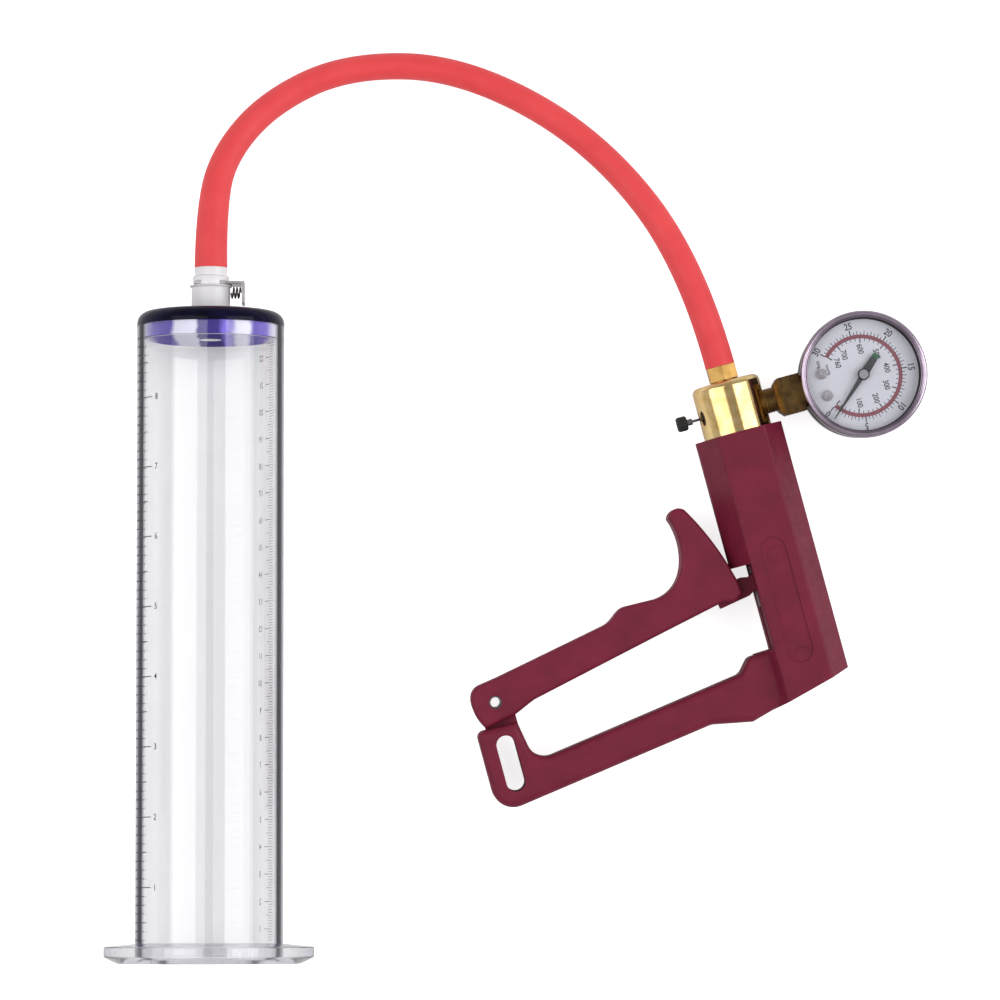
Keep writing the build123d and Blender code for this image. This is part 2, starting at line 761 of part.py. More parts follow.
# One moulding: the eight-sided barrel and the arm.
with BuildPart() as casing:
    with BuildSketch(along(PUMP, 0)):
        with BuildLine():
            Polyline(
                (-FLAT_HALF, AXIS_H),
                (FLAT_HALF, AXIS_H),
                (SIDE_HALF, SIDE_FLAT),
                (SIDE_HALF, -SIDE_FLAT),
                (FLAT_HALF, -AXIS_H),
                (-FLAT_HALF, -AXIS_H),
                (-SIDE_HALF, -SIDE_FLAT),
                (-SIDE_HALF, SIDE_FLAT),
                close=True,
            )
        make_face()
    extrude(amount=BARREL_BOTTOM)
    fillet(casing.edges().filter_by(BARREL_AXIS), EDGE_ROUND)
    slab(PUMP, BARREL_CUT, -2 * AXIS_H, 2 * AXIS_H, Mode.SUBTRACT)
    add(arm_blank.part)
    # Pivot tang
    disc(PIVOT_TURN, TANG_R, -TANG_HALF, TANG_HALF)
    block(
        PUMP,
        (PIVOT[0] - TANG_R, PIVOT[0] + TANG_R),
        (TANG_FOOT, PIVOT[1]),
        (-TANG_HALF, TANG_HALF),
    )
    disc(PIVOT_TURN, PIVOT_PIN_R, -TANG_HALF, TANG_HALF, Mode.SUBTRACT)
    # Barrel bore, with the shoulder that the liner stands on
    disc(PUMP, COUNTERBORE_R, LINER_END, 0, Mode.SUBTRACT)
    disc(PUMP, LOWER_BORE_R, BORE_END, LINER_END, Mode.SUBTRACT)
    # Side notch and the slot that lets the tongue in
    block(
        PUMP,
        (-SIDE_HALF - 1, NOTCH_P),
        (NOTCH_LOW, NOTCH_HIGH),
        (-AXIS_H, AXIS_H),
        Mode.SUBTRACT,
    )
    block(
        PUMP,
        (-SIDE_HALF, -FLAT_HALF + 2),
        (NOTCH_LOW + 0.3, NOTCH_HIGH - 0.3),
        (-TONGUE_HALF - 0.3, TONGUE_HALF + 0.3),
        Mode.SUBTRACT,
    )
    # Lanyard slot, right through
    with BuildSketch(PUMP.offset(-ARM_HALF)):
        with Locations(SLOT_CENTRE):
            SlotOverall(SLOT_LENGTH, SLOT_WIDTH, rotation=90)
    extrude(amount=2 * ARM_HALF, mode=Mode.SUBTRACT)
    # Shallow badge panel on the front flat
    with BuildSketch(PUMP.offset(AXIS_H - BADGE_DEPTH)):
        with Locations((0, BADGE_Q)):
            SlotOverall(BADGE_LENGTH, BADGE_WIDTH, rotation=90)
    extrude(amount=BADGE_DEPTH, mode=Mode.SUBTRACT)
save(casing, "casing")

with BuildPart() as barrel_liner:
    ring(PUMP, LINER_BORE_R, COUNTERBORE_R - 0.1, LINER_END, LINER_TOP)
save(barrel_liner, "barrel_liner")

with BuildPart() as rod_guide:
    ring(PUMP, ROD_R + 0.05, LINER_BORE_R, LINER_END, LINER_END + GUIDE_T)
save(rod_guide, "rod_guide")

# ---- piston -----------------------------------------------------------------

with BuildPart() as piston:
    ring(PUMP, SCREW_R, LINER_BORE_R - 0.1, PISTON_TOP - PISTON_T, PISTON_TOP)
    ring(
        PUMP,
        PISTON_GROOVE_R,
        LINER_BORE_R,
        PISTON_MID - PISTON_GROOVE_HALF,
        PISTON_MID + PISTON_GROOVE_HALF,
        Mode.SUBTRACT,
    )
    disc(PUMP, SCREW_HEAD_R + 0.2, PISTON_TOP - SCREW_HEAD_T, PISTON_TOP, Mode.SUBTRACT)
save(piston, "piston")

with BuildPart() as piston_seal:
    torus(PUMP, PISTON_GROOVE_R + PISTON_SEAL_WIRE_R + 0.05, PISTON_SEAL_WIRE_R, PISTON_MID)
save(piston_seal, "piston_seal")

with BuildPart() as piston_screw:
    disc(PUMP, SCREW_R - 0.05, SCREW_END, PISTON_TOP - SCREW_HEAD_T)
    disc(PUMP, SCREW_HEAD_R, PISTON_TOP - SCREW_HEAD_T, PISTON_TOP - 0.1)
    block(
        PUMP,
        (-SCREW_HEAD_R, SCREW_HEAD_R),
        (PISTON_TOP - SCREW_SLOT_DEPTH, PISTON_TOP),
        (-SCREW_SLOT_HALF, SCREW_SLOT_HALF),
        Mode.SUBTRACT,
    )
save(piston_screw, "piston_screw")

# Rod and yoke in one piece. The yoke's pocket takes the lever's tongue.
with BuildPart() as piston_rod:
    disc(PUMP, ROD_R, YOKE_TOP, PISTON_TOP - PISTON_T)
    disc(PUMP, YOKE_R, YOKE_END, YOKE_TOP)
    disc(PUMP, SCREW_R, SCREW_END - 1, PISTON_TOP - PISTON_T, Mode.SUBTRACT)
    block(
        PUMP,
        (-YOKE_R - 1, TONGUE_TIP_P),
        (TONGUE_Q - TONGUE_R - 0.1, TONGUE_Q + TONGUE_R + 0.1),
        (-TONGUE_HALF - 0.3, TONGUE_HALF + 0.3),
        Mode.SUBTRACT,
    )
save(piston_rod, "piston_rod")

with BuildPart() as return_spring:
    coil(PUMP, RETURN_COIL_R, RETURN_WIRE_R, BORE_END, YOKE_END, RETURN_TURNS)
save(return_spring, "return_spring")

# ---- lever ------------------------------------------------------------------

with BuildPart() as lever:
    with BuildSketch(PUMP.offset(-LEVER_HALF)):
        with BuildLine():
            shank = Polyline((-110, -63.8), (-67.2, -55.7))
            step = Spline(shank @ 1, (-62.4, -53.2), (-57.5, -50.9), tangents=[(5, 1), (5, 0.2)])
            thumb = Polyline(step @ 1, (-46, -51.2))
            hollow = Spline(thumb @ 1, (-36.6, -46.6), (-32.5, -36.5), (-33.9, -24.0))
            tip = ThreePointArc(hollow @ 1, (-30.8, -21.2), (-27.0, -22.6))
            nose = Spline(tip @ 1, (-20.8, -35), (-16.2, -48.5))
            belly = Polyline(
                nose @ 1,
                (-15.2, -52.3),
                (-14.6, -57.6),
                (-18, -59.9),
                (-22.6, -58.9),
                (-50.1, -64.7),
                (-98.8, -75.2),
                (-106.5, -78.5),
                (-118.6, -80.8),
            )
            heel = Spline(belly @ 1, (-121.2, -73.5), (-116.8, -64.8), tangents=[(-0.6, 1), (1, 0.2)])
            Polyline(heel @ 1, shank @ 0)
        make_face()
    extrude(amount=2 * LEVER_HALF)
    fillet(lever.faces().filter_by(Axis.Z).edges(), LEVER_ROUND)
    # Fork round the casing's tang
    block(
        PUMP,
        (PIVOT[0] - FORK_REACH, FORK_END_P),
        (PIVOT[1] - FORK_REACH, PIVOT[1] + FORK_REACH),
        (-TANG_HALF - 0.3, TANG_HALF + 0.3),
        Mode.SUBTRACT,
    )
    disc(PIVOT_TURN, PIVOT_PIN_R + 0.05, -LEVER_HALF, LEVER_HALF, Mode.SUBTRACT)
    # Tongue into the yoke
    slab(TONGUE, TONGUE_OUTLINE, -TONGUE_HALF, TONGUE_HALF)
    disc(TONGUE_TURN, TONGUE_R, -TONGUE_HALF, TONGUE_HALF)
save(lever, "lever")

with BuildPart() as pivot_pin:
    ring(
        PIVOT_TURN,
        PIVOT_PIN_R - PIVOT_PIN_WALL,
        PIVOT_PIN_R,
        -LEVER_HALF + 0.1,
        LEVER_HALF - 0.1,
    )
save(pivot_pin, "pivot_pin")

# ---- gauge ------------------------------------------------------------------

# Brass socket: thread, wrench block, neck through the case and inner block.
with BuildPart() as gauge_socket:
    block(GAUGE, (STEM_LOW, STEM_HIGH), (-STEM_HALF, STEM_HALF), (-STEM_HALF, STEM_HALF))
    chamfer(gauge_socket.faces().sort_by(PORT_AXIS)[0].edges(), STEM_EDGE)
    disc(PORT, STEM_R - 0.05, CHAMBER_END + 0.1, GAUGE_P + STEM_LOW)
    block(GAUGE, (STEM_HIGH, INNER_LOW), (-NECK_HALF, NECK_HALF), (-NECK_T, NECK_T))
    block(GAUGE, (INNER_LOW, INNER_HIGH), (-STEM_HALF, STEM_HALF), (INNER_FLOOR, LUG_TOP))
    disc(PORT, STEM_WAY_R, CHAMBER_END, GAUGE_P + INNER_HIGH - 3, Mode.SUBTRACT)
    for side in (-1, 1):
        disc(dial_turn(SCREW_X, side * SCREW_Y), DIAL_SCREW_R, LUG_TOP - 4, LUG_TOP, Mode.SUBTRACT)
save(gauge_socket, "gauge_socket")

with BuildPart() as gauge_case:
    spin(
        GAUGE_TURN,
        [
            (0, CASE_BACK),
            (CASE_R, CASE_BACK),
            (CASE_R, LENS_LOW),
            (CASE_R - CASE_WALL, LENS_LOW),
            (CASE_R - CASE_WALL, CASE_BACK + CASE_WALL),
            (0, CASE_BACK + CASE_WALL),
        ],
    )
    rims = gauge_case.edges().filter_by(GeomType.CIRCLE).group_by(Axis.Z)[0]
    fillet(rims.filter_by(lambda rim: rim.radius > CASE_R - 0.1), CASE_ROUND)
    block(
        GAUGE,
        (-CASE_R - 1, INNER_LOW),
        (-NECK_HALF - 0.1, NECK_HALF + 0.1),
        (-NECK_T - 0.1, NECK_T + 0.1),
        Mode.SUBTRACT,
    )
save(gauge_case, "gauge_case")

with BuildPart() as gauge_bezel:
    spin(
        GAUGE_TURN,
        [
            (CASE_R + 0.05, BEZEL_LOW),
            (BEZEL_R, BEZEL_LOW),
            (BEZEL_R, CASE_FRONT - BEZEL_EDGE),
            (BEZEL_R - BEZEL_EDGE, CASE_FRONT),
            (DIAL_R - 0.4, CASE_FRONT),
            (DIAL_R - 0.9, LENS_LOW + LENS_T + 0.05),
            (CASE_R + 0.05, LENS_LOW + LENS_T + 0.05),
        ],
    )
save(gauge_bezel, "gauge_bezel")

with BuildPart() as gauge_lens:
    disc(GAUGE_TURN, CASE_R - 0.1, LENS_LOW, LENS_LOW + LENS_T)
save(gauge_lens, "gauge_lens")

with BuildPart() as gauge_dial:
    ring(GAUGE_TURN, 1.0, DIAL_R, LUG_TOP + 0.05, DIAL_TOP)
    for side in (-1, 1):
        disc(dial_turn(SCREW_X, side * SCREW_Y), DIAL_SCREW_R, LUG_TOP, DIAL_TOP, Mode.SUBTRACT)
save(gauge_dial, "gauge_dial")

with BuildPart() as dial_screws:
    for side in (-1, 1):
        screw = dial_turn(SCREW_X, side * SCREW_Y)
        disc(screw, DIAL_SCREW_R - 0.05, LUG_TOP - 3, DIAL_TOP)
        disc(screw, DIAL_HEAD_R, DIAL_TOP, DIAL_TOP + DIAL_HEAD_T)
    with BuildSketch(GAUGE.offset(DIAL_TOP + DIAL_HEAD_T / 2)):
        with Locations((SCREW_X, SCREW_Y), (SCREW_X, -SCREW_Y)):
            Rectangle(*DIAL_SLOT, rotation=DIAL_SLOT_TURN)
    extrude(amount=DIAL_HEAD_T, mode=Mode.SUBTRACT)
save(dial_screws, "dial_screws")

# Coiled pressure tube, brazed into the inner block.
with BuildPart() as bourdon_tube:
    with BuildSketch(TUBE_TURN):
        with Locations((TUBE_COIL_R, TUBE_COIL_Z)):
            RectangleRounded(*TUBE_COIL_SECTION, TUBE_COIL_ROUND)
    revolve(axis=Axis(GAUGE.origin, (0, 0, 1)), revolution_arc=TUBE_ARC)
save(bourdon_tube, "bourdon_tube")

# Two brass plates and their pillars carry the gear shafts.
with BuildPart() as movement_frame:
    for low in (FRAME_LOW, FRAME_HIGH):
        slab(GAUGE, FRAME_OUTLINE, low, low + FRAME_T)
    for x, y in PILLARS:
        disc(dial_turn(x, y), PILLAR_R, FRAME_LOW, FRAME_HIGH + FRAME_T)
    disc(GAUGE_TURN, SHAFT_R + 0.05, FRAME_LOW, FRAME_HIGH + FRAME_T, Mode.SUBTRACT)
    sector_axis = dial_turn(*SECTOR_PIVOT)
    disc(sector_axis, SHAFT_R + 0.05, FRAME_LOW, FRAME_HIGH + FRAME_T, Mode.SUBTRACT)
save(movement_frame, "movement_frame")

with BuildPart() as pinion_shaft:
    teeth = gear_outline(PINION_TEETH, PINION_TEETH, radians(SECTOR_BEARING))
    slab(GAUGE, teeth, GEAR_LOW - 0.5, GEAR_LOW + GEAR_T + 0.5)
    disc(GAUGE_TURN, SHAFT_R, FRAME_LOW, POINTER_LOW + 0.6)
save(pinion_shaft, "pinion_shaft")

with BuildPart() as sector_gear:
    slab(SECTOR, sector_outline(), GEAR_LOW, GEAR_LOW + GEAR_T)
    disc(sector_axis, SECTOR_HUB_R, GEAR_LOW, GEAR_LOW + GEAR_T)
    disc(sector_axis, SHAFT_R, FRAME_LOW, FRAME_HIGH + FRAME_T)
save(sector_gear, "sector_gear")

with BuildPart() as gauge_pointer:
    slab(POINTER, POINTER_OUTLINE, POINTER_LOW, POINTER_LOW + POINTER_T)
    disc(GAUGE_TURN, SHAFT_R, POINTER_LOW, POINTER_LOW + POINTER_T, Mode.SUBTRACT)
save(gauge_pointer, "gauge_pointer")

with BuildPart() as pointer_hub:
    disc(GAUGE_TURN, HUB_R, POINTER_LOW + POINTER_T, LENS_LOW - 0.3)
    disc(GAUGE_TURN, SHAFT_R, POINTER_LOW, POINTER_LOW + 0.6, Mode.SUBTRACT)
    fillet(pointer_hub.edges().filter_by(GeomType.CIRCLE).sort_by(Axis.Z)[-1], HUB_ROUND)
save(pointer_hub, "pointer_hub")
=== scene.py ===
from math import atan, cos, pi, radians, sin

import bpy
from mathutils import Matrix, Vector


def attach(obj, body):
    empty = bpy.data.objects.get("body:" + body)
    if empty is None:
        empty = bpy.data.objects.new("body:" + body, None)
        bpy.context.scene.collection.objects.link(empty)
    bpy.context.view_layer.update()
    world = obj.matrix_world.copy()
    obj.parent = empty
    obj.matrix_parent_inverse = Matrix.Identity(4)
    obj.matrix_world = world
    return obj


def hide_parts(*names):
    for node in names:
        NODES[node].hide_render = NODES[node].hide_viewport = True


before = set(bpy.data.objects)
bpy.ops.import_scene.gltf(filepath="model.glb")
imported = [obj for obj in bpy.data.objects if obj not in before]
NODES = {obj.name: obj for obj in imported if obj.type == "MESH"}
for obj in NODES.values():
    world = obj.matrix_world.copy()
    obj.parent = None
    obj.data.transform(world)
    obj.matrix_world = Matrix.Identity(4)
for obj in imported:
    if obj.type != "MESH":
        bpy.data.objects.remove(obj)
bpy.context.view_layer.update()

# The looks of the hand vacuum pump set: camera, light, materials, printed
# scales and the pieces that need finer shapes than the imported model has.
# Helpers take millimetres in a local frame and make metres in the shared frame.

MM = 0.001
INCH = 25.4


def axes(origin, x_axis, y_axis):
    """A frame's matrix from its origin in mm and two of its axes."""
    x, y = Vector(x_axis), Vector(y_axis)
    matrix = Matrix((x, y, x.cross(y))).transposed().to_4x4()
    matrix.translation = Vector(origin) * MM
    return matrix


def shifted(matrix, x, y, z):
    """The same frame moved by mm along its own axes."""
    return matrix @ Matrix.Translation(Vector((x, y, z)) * MM)


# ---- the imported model's own sizes, in mm -------------------------------------

TUBE_R, BORE_R, PLUG_SEAT_R = 27.0, 23.8, 24.4
TUBE_LENGTH, PLUG_T = 232.7, 5.0
FLANGE_R, FLANGE_RIM, FLANGE_CROWN, BEVEL_R, BEVEL_H = 38.35, 6.2, 7.4, 4.9, 2.4
SET_LENGTH, CAP_ROUND = 238.0, 4.4
CYL_X, CYL_Y = -112.4, -131.8
PUMP_X, PUMP_Y, PUMP_Z = 81.8, 62.4, 15.5
# The cylinder lies on its flange's rim and on its cap's edge, so it tilts.
TILT = atan((FLANGE_R - TUBE_R) / (SET_LENGTH - CAP_ROUND - FLANGE_RIM))
LEAN = radians(15.2)
CASE_R, BEZEL_R, DIAL_TOP = 22.6, 23.35, 8.0
BEZEL_FOOT, BEZEL_TOP = 7.2, 13.48
PORT_H, GAUGE_P = 8.4, 49.5
PANEL_Z = 15.1
POINTER_REST = radians(221.8)

CYL = axes(
    (CYL_X, CYL_Y, FLANGE_R * cos(TILT) + FLANGE_RIM * sin(TILT)),
    (1, 0, 0),
    (0, cos(TILT), -sin(TILT)),
)
PUMP = axes((PUMP_X, PUMP_Y, PUMP_Z), (cos(LEAN), sin(LEAN), 0), (-sin(LEAN), cos(LEAN), 0))
GAUGE = shifted(PUMP, GAUGE_P, PORT_H, 0)
# The cross port's frame: y runs along the pump's own x, towards the gauge.
PORT = axes(
    (PUMP @ Vector((0, PORT_H * MM, 0))) / MM, (sin(LEAN), -cos(LEAN), 0), (cos(LEAN), sin(LEAN), 0)
)

# ---- camera ------------------------------------------------------------------

AIM = Vector((-6.75, 36.7, 45.0)) * MM
EYE = Vector((-48.95, -15.0, 2045.0)) * MM
VIEW_WIDTH = 363.4 * MM
SENSOR = 36.0

camera_data = bpy.data.cameras.new("camera")
camera_data.sensor_width = SENSOR
camera_data.lens = SENSOR * (EYE - AIM).length / VIEW_WIDTH
camera_data.clip_start, camera_data.clip_end = 0.05, 50.0
camera = bpy.data.objects.new("camera", camera_data)
bpy.context.scene.collection.objects.link(camera)
bpy.context.scene.camera = camera
toward = (AIM - EYE).normalized()
side = toward.cross(Vector((0, 1, 0))).normalized()
camera.matrix_world = Matrix.Translation(EYE) @ Matrix(
    (side, side.cross(toward), -toward)
).transposed().to_4x4()

# ---- hose --------------------------------------------------------------------

HOSE_POINTS = [
    (-112.4, 122.29, 25.93),
    (-112.4, 142.27, 24.93),
    (-108.4, 163.8, 18.5),
    (-91.6, 184.4, 13.0),
    (-62.2, 198.9, 8.5),
    (-19.7, 198.2, 5.8),
    (29.0, 171.9, 5.8),
    (64.65, 125.51, 15.5),
    (75.14, 86.91, 15.5),
]
# The hose's radius at each point: stretched over the barb at each end.
HOSE_RADII = [6.05, 5.75, 5.2, 5.1, 4.94, 5.0, 5.15, 5.3, 5.5]

hose_curve = bpy.data.curves.new("rubber_hose", "CURVE")
hose_curve.dimensions = "3D"
hose_spline = hose_curve.splines.new("NURBS")
hose_spline.points.add(len(HOSE_POINTS) - 1)
for point, place, radius in zip(hose_spline.points, HOSE_POINTS, HOSE_RADII):
    point.co = (*[value * MM for value in place], 1.0)
    point.radius = radius * MM
hose_spline.order_u = 3
hose_spline.use_endpoint_u = True
hose_spline.resolution_u = 24
hose_curve.bevel_depth = 1.0
hose_curve.bevel_resolution = 10
hose_curve.use_fill_caps = True
hose = bpy.data.objects.new("rubber_hose", hose_curve)
bpy.context.scene.collection.objects.link(hose)
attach(hose, "pump")
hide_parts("hose")

# ---- materials ---------------------------------------------------------------


class Graph:
    """A material's node tree, with short ways to add what most of them need."""

    def __init__(self, name):
        self.material = bpy.data.materials.new(name)
        self.material.use_nodes = True
        self.tree = self.material.node_tree
        self.tree.nodes.clear()
        self.output = self.add("ShaderNodeOutputMaterial")
        self.place = self.add("ShaderNodeTexCoord").outputs["Object"]

    def add(self, kind, **settings):
        node = self.tree.nodes.new(kind)
        for key, value in settings.items():
            setattr(node, key, value)
        return node

    def link(self, start, end):
        self.tree.links.new(start, end)

    def local(self, matrix):
        """Coordinates in mm in a local frame."""
        node = self.add("ShaderNodeMapping", vector_type="POINT")
        back = matrix.inverted()
        node.inputs["Location"].default_value = back.translation / MM
        node.inputs["Rotation"].default_value = back.to_euler()
        node.inputs["Scale"].default_value = (1 / MM,) * 3
        self.link(self.place, node.inputs["Vector"])
        return node.outputs["Vector"]

    def stretched(self, vector, scale):
        node = self.add("ShaderNodeMapping", vector_type="POINT")
        node.inputs["Scale"].default_value = scale
        self.link(vector, node.inputs["Vector"])
        return node.outputs["Vector"]

    def noise(self, size, detail=3.0, vector=None, rough=0.55):
        """Noise whose features are about size mm across."""
        node = self.add("ShaderNodeTexNoise")
        node.inputs["Scale"].default_value = 1 / (size * MM) if vector is None else 1 / size
        node.inputs["Detail"].default_value = detail
        node.inputs["Roughness"].default_value = rough
        self.link(self.place if vector is None else vector, node.inputs["Vector"])
        return node.outputs["Fac"]

    def ramp(self, factor, *stops):
        node = self.add("ShaderNodeValToRGB")
        elements = node.color_ramp.elements
        while len(elements) < len(stops):
            elements.new(0.5)
        for element, (position, colour) in zip(elements, stops):
            element.position = position
            element.color = (*colour, 1)
        self.link(factor, node.inputs["Fac"])
        return node.outputs["Color"]

    def span(self, value, low, high, to_low, to_high):
        node = self.add("ShaderNodeMapRange")
        settings = (low, high, to_low, to_high)
        for name, number in zip(("From Min", "From Max", "To Min", "To Max"), settings):
            node.inputs[name].default_value = number
        self.link(value, node.inputs["Value"])
        return node.outputs["Result"]

    def math(self, operation, *values):
        node = self.add("ShaderNodeMath", operation=operation)
        for number, value in enumerate(values):
            if isinstance(value, (int, float)):
                node.inputs[number].default_value = value
            else:
                self.link(value, node.inputs[number])
        return node.outputs["Value"]

    def blend(self, factor, first, second, mode="MIX"):
        node = self.add("ShaderNodeMix", data_type="RGBA", blend_type=mode)
        sockets = (node.inputs["Factor"], node.inputs[6], node.inputs[7])
        for socket, value in zip(sockets, (factor, first, second)):
            if isinstance(value, (int, float)):
                socket.default_value = value
            elif isinstance(value, tuple):
                socket.default_value = (*value, 1)
            else:
                self.link(value, socket)
        return node.outputs[2]

    def bump(self, height, depth, strength=1.0, normal=None):
        """A bump of depth mm."""
        node = self.add("ShaderNodeBump")
        node.inputs["Strength"].default_value = strength
        node.inputs["Distance"].default_value = depth * MM
        self.link(height, node.inputs["Height"])
        if normal is not None:
            self.link(normal, node.inputs["Normal"])
        return node.outputs["Normal"]

    def rounded(self, radius):
        """Shading that rounds the sharp edges of a piece by radius mm."""
        node = self.add("ShaderNodeBevel", samples=4)
        node.inputs["Radius"].default_value = radius * MM
        return node.outputs["Normal"]

    def surface(self, colour, rough, normal=None, **sockets):
        """The Principled shader. rough is a socket or a fixed value."""
        node = self.add("ShaderNodeBsdfPrincipled")
        self.link(colour, node.inputs["Base Color"])
        if isinstance(rough, float):
            node.inputs["Roughness"].default_value = rough
        else:
            self.link(rough, node.inputs["Roughness"])
        if normal is not None:
            self.link(normal, node.inputs["Normal"])
        for name, value in sockets.items():
            node.inputs[name.replace("_", " ")].default_value = value
        self.link(node.outputs["BSDF"], self.output.inputs["Surface"])
        return node

    def lamps_through(self, shader, tint):
        """Lets light from lamps through clear plastic, a little weaker."""
        clear = self.add("ShaderNodeBsdfTransparent")
        clear.inputs["Color"].default_value = (*tint, 1)
        mix = self.add("ShaderNodeMixShader")
        self.link(self.add("ShaderNodeLightPath").outputs["Is Shadow Ray"], mix.inputs["Fac"])
        self.link(shader, mix.inputs[1])
        self.link(clear.outputs["BSDF"], mix.inputs[2])
        self.link(mix.outputs["Shader"], self.output.inputs["Surface"])


def scaled(colour, factor):
    """A colour made lighter or darker."""
    return tuple(min(1.0, channel * factor) for channel in colour)


def moulded(name, colour, rough=0.45, grain=0.35, depth=0.02, vary=0.14, edge=0.35, **sockets):
    """Moulded plastic or paint: mottled colour, a fine grain and soft edges."""
    g = Graph(name)
    fine = g.noise(grain, 2.0)
    broad = g.noise(9.0, 4.0)
    base = g.ramp(broad, (0.3, scaled(colour, 1 - vary)), (0.7, scaled(colour, 1 + vary)))
    base = g.blend(g.span(fine, 0.35, 0.75, 0.0, 0.25), base, scaled(colour, 0.7))
    roughness = g.span(g.noise(3.0, 3.0), 0.3, 0.7, rough - 0.05, rough + 0.07)
    normal = g.bump(fine, depth, 0.6, g.rounded(edge))
    g.surface(base, roughness, normal, **sockets)
    return g.material


def metal(name, light, dark, rough, axis_frame=None, stretch=(0.4, 14.0, 0.4), edge=0.2, depth=0.004):
    """Turned or worked metal: fine tool marks along one way, and uneven tarnish."""
    g = Graph(name)
    if axis_frame is None:
        marks = g.noise(0.5, 3.0)
    else:
        marks = g.noise(1.0, 4.0, g.stretched(g.local(axis_frame), stretch))
    stain = g.noise(5.0, 5.0)
    base = g.ramp(stain, (0.32, dark), (0.62, light))
    base = g.blend(g.span(marks, 0.3, 0.8, 0.0, 0.22), base, scaled(dark, 0.7))
    roughness = g.span(marks, 0.25, 0.75, rough * 0.75, rough * 1.35)
    normal = g.bump(marks, depth, 0.5, g.rounded(edge))
    g.surface(base, roughness, normal, Metallic=1.0)
    return g.material


ACRYLIC_IOR, ACRYLIC_SPECULAR = 1.49, 0.08
LAMP_TINT = (0.965, 0.965, 0.975)


def clear(name, colour, *edges, solid=()):
    """Clear plastic. edges are painted shade: the darker colours it takes as its surface turns away
    from the eye. solid is its clearness as it turns away, kept low there so the painted shade shows as
    a dark wall.
    """
    g = Graph(name)
    facing = g.add("ShaderNodeLayerWeight")
    facing.inputs["Blend"].default_value = 0.5
    cloud = g.ramp(g.noise(14.0, 3.0), (0.3, scaled(colour, 0.985)), (0.7, colour))
    # Painted shade: the colour darkens as the surface turns away from the eye.
    rim = g.ramp(facing.outputs["Facing"], *edges)
    scuffs = g.span(g.noise(4.0, 6.0), 0.55, 0.8, 0.0, 0.04)
    tint = g.blend(1.0, cloud, rim, "MULTIPLY")
    node = g.surface(tint, scuffs, Transmission_Weight=1.0, IOR=ACRYLIC_IOR)
    if solid:
        clearness = g.ramp(facing.outputs["Facing"], *[(at, (w, w, w)) for at, w in solid])
        node.inputs["Specular IOR Level"].default_value = ACRYLIC_SPECULAR
        g.link(clearness, node.inputs["Transmission Weight"])
    g.lamps_through(node.outputs["BSDF"], LAMP_TINT)
    return g.material


MAROON = (0.190, 0.0120, 0.036)

casing_plastic = moulded("casing_plastic", MAROON, rough=0.5, Specular_IOR_Level=0.26)
lever_plastic = moulded("lever_plastic", scaled(MAROON, 1.04), rough=0.48, Specular_IOR_Level=0.26)
white_acetal = moulded("white_acetal", (0.955, 0.935, 0.955), rough=0.32, depth=0.01, vary=0.05)
black_plastic = moulded("black_plastic", (0.012, 0.012, 0.014), rough=0.35, vary=0.3)
inner_plastic = moulded("inner_plastic", (0.32, 0.32, 0.33), rough=0.4, vary=0.08)
black_rubber = moulded("black_rubber", (0.02, 0.02, 0.02), rough=0.65, vary=0.3, grain=0.2)
brass = metal("brass", (0.92, 0.70, 0.34), (0.72, 0.47, 0.17), 0.12, PUMP, edge=0.3)
worked_brass = metal("worked_brass", (0.40, 0.24, 0.075), (0.26, 0.15, 0.045), 0.14, edge=0.3)
dark_brass = metal(
    "dark_brass", (0.20, 0.115, 0.04), (0.05, 0.03, 0.016), 0.34, PORT, (1.2, 5.0, 1.2), 0.4, 0.02
)
stainless = metal("stainless", (0.66, 0.63, 0.64), (0.42, 0.39, 0.40), 0.22)
screw_nickel = metal("screw_nickel", (0.86, 0.84, 0.86), (0.50, 0.47, 0.50), 0.16)
spring_steel = metal("spring_steel", (0.30, 0.28, 0.29), (0.12, 0.11, 0.12), 0.25)
case_metal = moulded(
    "case_metal", (0.030, 0.019, 0.032), rough=0.3, depth=0.006, vary=0.3, Specular_IOR_Level=0.3
)
dial_paint = moulded("dial_paint", (0.62, 0.625, 0.68), rough=0.5, depth=0.004, vary=0.02, edge=0.1)
band_ink = moulded("band_ink", (0.22, 0.055, 0.075), rough=0.5, depth=0.002, vary=0.12, edge=0.02)
black_ink = moulded("black_ink", (0.018, 0.018, 0.028), rough=0.5, depth=0.002, vary=0.25, edge=0.02)
scale_ink = moulded("scale_ink", (0.012, 0.011, 0.035), rough=0.5, depth=0.002, vary=0.25, edge=0.02)
pale_ink = moulded("pale_ink", (0.035, 0.035, 0.085), rough=0.5, depth=0.002, vary=0.25, edge=0.02)

# Painted shade on the tube: its walls go dark, then grey, where they turn away from the eye.
PAINTED_DARK_RIM, PAINTED_GREY_RIM, CLEAR = (0.006, 0.005, 0.012), (0.30, 0.29, 0.33), (1.0, 1.0, 1.0)
tube_acrylic = clear(
    "tube_acrylic",
    (0.965, 0.965, 0.97),
    (0.50, CLEAR),
    (0.56, (0.30, 0.29, 0.34)),
    (0.60, PAINTED_DARK_RIM),
    (0.72, PAINTED_DARK_RIM),
    (0.80, PAINTED_GREY_RIM),
    (1.00, (0.60, 0.59, 0.62)),
    solid=((0.52, 1.0), (0.60, 0.2), (0.72, 0.2), (0.82, 0.8)),
)
bore_acrylic = clear("bore_acrylic", (0.965, 0.965, 0.97), (0.5, CLEAR), (1.0, CLEAR))
# Painted shade: the flange greys, then goes near-black, where its surface turns away from the eye.
flange_acrylic = clear(
    "flange_acrylic",
    (0.93, 0.925, 0.94),
    (0.30, CLEAR),
    (0.75, (0.46, 0.44, 0.52)),
    (0.92, (0.05, 0.035, 0.09)),
)
# Painted shade: the lens greys a little where its surface turns away from the eye.
lens_clear = clear("lens_clear", (0.985, 0.98, 0.99), (0.6, CLEAR), (1.0, (0.75, 0.72, 0.80)))


